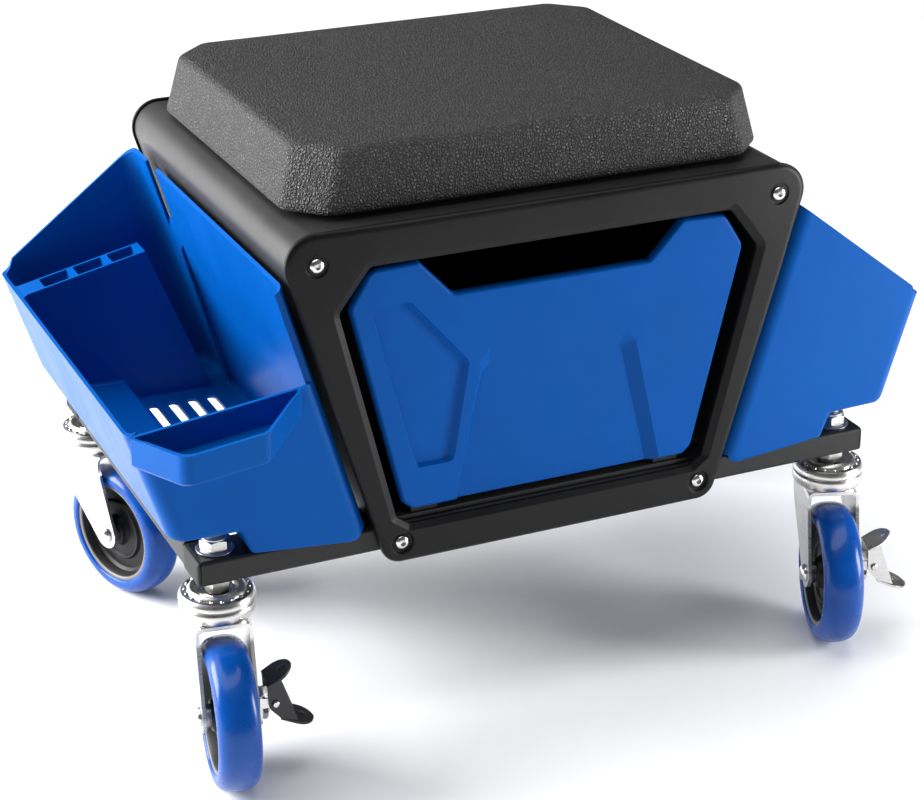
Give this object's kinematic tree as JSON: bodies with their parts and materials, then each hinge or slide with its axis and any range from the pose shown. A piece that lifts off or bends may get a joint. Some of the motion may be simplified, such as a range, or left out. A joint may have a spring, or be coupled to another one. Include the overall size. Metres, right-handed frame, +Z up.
{
  "type": "mechanics creeper",
  "caption": "Rolling workshop stool with a padded seat on a tapered body, a front drawer, open side bins and swivel casters.",
  "frame": {"origin": "on the floor, under the middle of the stool's bounding box", "axes": "+Z up, the drawer opens towards -Y, the side bins are towards -X and +X"},
  "size_m": [0.574, 0.4322, 0.405],
  "materials": {
    "seat_skin": "black polyurethane skin with a pebble grain",
    "black_shell": "black moulded shell, satin",
    "black_frame": "black moulded end frame, fine texture",
    "black_plastic": "black plastic",
    "black_paint": "black powder coat",
    "blue_drawer": "blue moulded plastic, satin",
    "blue_bin": "blue moulded plastic, satin",
    "blue_tyre": "blue polyurethane, glossy",
    "black_wheel_core": "black nylon",
    "polished_zinc": "bright zinc plate on pressed steel",
    "zinc_plate": "zinc plate",
    "bright_fastener": "bright plated fastener"
  },
  "bodies": {
    "root": {"seat_cushion": "seat_skin", "seat_board": "black_plastic", "body_wrap": "black_shell", "body_floor": "black_shell", "front_bezel": "black_frame", "rear_bezel": "black_frame", "screw_front_top_left": "bright_fastener", "screw_front_top_right": "bright_fastener", "screw_front_low_left": "bright_fastener", "screw_front_low_right": "bright_fastener", "screw_rear_top_left": "bright_fastener", "screw_rear_top_right": "bright_fastener", "screw_rear_low_left": "bright_fastener", "screw_rear_low_right": "bright_fastener", "tie_rod_left": "zinc_plate", "tie_rod_right": "zinc_plate", "rear_panel": "black_plastic", "drawer_runner_left": "zinc_plate", "drawer_runner_right": "zinc_plate", "base_bar_front": "black_paint", "base_bar_rear": "black_paint", "base_bar_left": "black_paint", "base_bar_right": "black_paint", "end_plug_front_left": "black_plastic", "end_plug_front_right": "black_plastic", "end_plug_rear_left": "black_plastic", "end_plug_rear_right": "black_plastic", "side_bin_left": "blue_bin", "side_bin_right": "blue_bin", "stem_front_left": "zinc_plate", "stem_front_right": "zinc_plate", "stem_rear_left": "zinc_plate", "stem_rear_right": "zinc_plate", "lock_nut_front_left": "zinc_plate", "lock_nut_front_right": "zinc_plate", "lock_nut_rear_left": "zinc_plate", "lock_nut_rear_right": "zinc_plate"},
    "drawer": {"drawer_front": "blue_drawer", "drawer_box": "black_plastic"},
    "caster_front_left": {"fork_front_left": "polished_zinc", "axle_front_left": "bright_fastener", "brake_bracket_front_left": "polished_zinc"},
    "wheel_front_left": {"wheel_core_front_left": "black_wheel_core", "tyre_front_left": "blue_tyre"},
    "brake_front_left": {"brake_lever_front_left": "black_paint"},
    "caster_front_right": {"fork_front_right": "polished_zinc", "axle_front_right": "bright_fastener", "brake_bracket_front_right": "polished_zinc"},
    "wheel_front_right": {"wheel_core_front_right": "black_wheel_core", "tyre_front_right": "blue_tyre"},
    "brake_front_right": {"brake_lever_front_right": "polished_zinc"},
    "caster_rear_left": {"fork_rear_left": "polished_zinc", "axle_rear_left": "bright_fastener"},
    "wheel_rear_left": {"wheel_core_rear_left": "black_wheel_core", "tyre_rear_left": "blue_tyre"},
    "caster_rear_right": {"fork_rear_right": "polished_zinc", "axle_rear_right": "bright_fastener"},
    "wheel_rear_right": {"wheel_core_rear_right": "black_wheel_core", "tyre_rear_right": "blue_tyre"}
  },
  "joints": [
    {"name": "drawer_slide", "type": "slide", "parent": "root", "child": "drawer", "axis": [0, -1, 0], "range_m": [0, 0.2]},
    {"name": "swivel_front_left", "type": "hinge", "parent": "root", "child": "caster_front_left", "pos_m": [-0.229, -0.1385, 0.12], "axis": [0, 0, 1], "continuous": true},
    {"name": "roll_front_left", "type": "hinge", "parent": "caster_front_left", "child": "wheel_front_left", "pos_m": [-0.23338, -0.16615, 0.05], "axis": [0.9877, -0.1564, 0], "continuous": true},
    {"name": "brake_rock_front_left", "type": "hinge", "parent": "caster_front_left", "child": "brake_front_left", "pos_m": [-0.20533, -0.1706, 0.058], "axis": [-0.1564, -0.9877, 0], "range_deg": [-12, 0]},
    {"name": "swivel_front_right", "type": "hinge", "parent": "root", "child": "caster_front_right", "pos_m": [0.229, -0.1385, 0.12], "axis": [0, 0, 1], "continuous": true},
    {"name": "roll_front_right", "type": "hinge", "parent": "caster_front_right", "child": "wheel_front_right", "pos_m": [0.21942, -0.16481, 0.05], "axis": [0.9397, -0.342, 0], "continuous": true},
    {"name": "brake_rock_front_right", "type": "hinge", "parent": "caster_front_right", "child": "brake_front_right", "pos_m": [0.24611, -0.17453, 0.058], "axis": [-0.342, -0.9397, 0], "range_deg": [-12, 0]},
    {"name": "swivel_rear_left", "type": "hinge", "parent": "root", "child": "caster_rear_left", "pos_m": [-0.229, 0.1385, 0.12], "axis": [0, 0, 1], "continuous": true},
    {"name": "roll_rear_left", "type": "hinge", "parent": "caster_rear_left", "child": "wheel_rear_left", "pos_m": [-0.21806, 0.11273, 0.05], "axis": [0.9205, 0.3907, 0], "continuous": true},
    {"name": "swivel_rear_right", "type": "hinge", "parent": "root", "child": "caster_rear_right", "pos_m": [0.229, 0.1385, 0.12], "axis": [0, 0, 1], "continuous": true},
    {"name": "roll_rear_right", "type": "hinge", "parent": "caster_rear_right", "child": "wheel_rear_right", "pos_m": [0.2251, 0.16623, 0.05], "axis": [-0.9903, -0.1392, 0], "continuous": true}
  ]
}
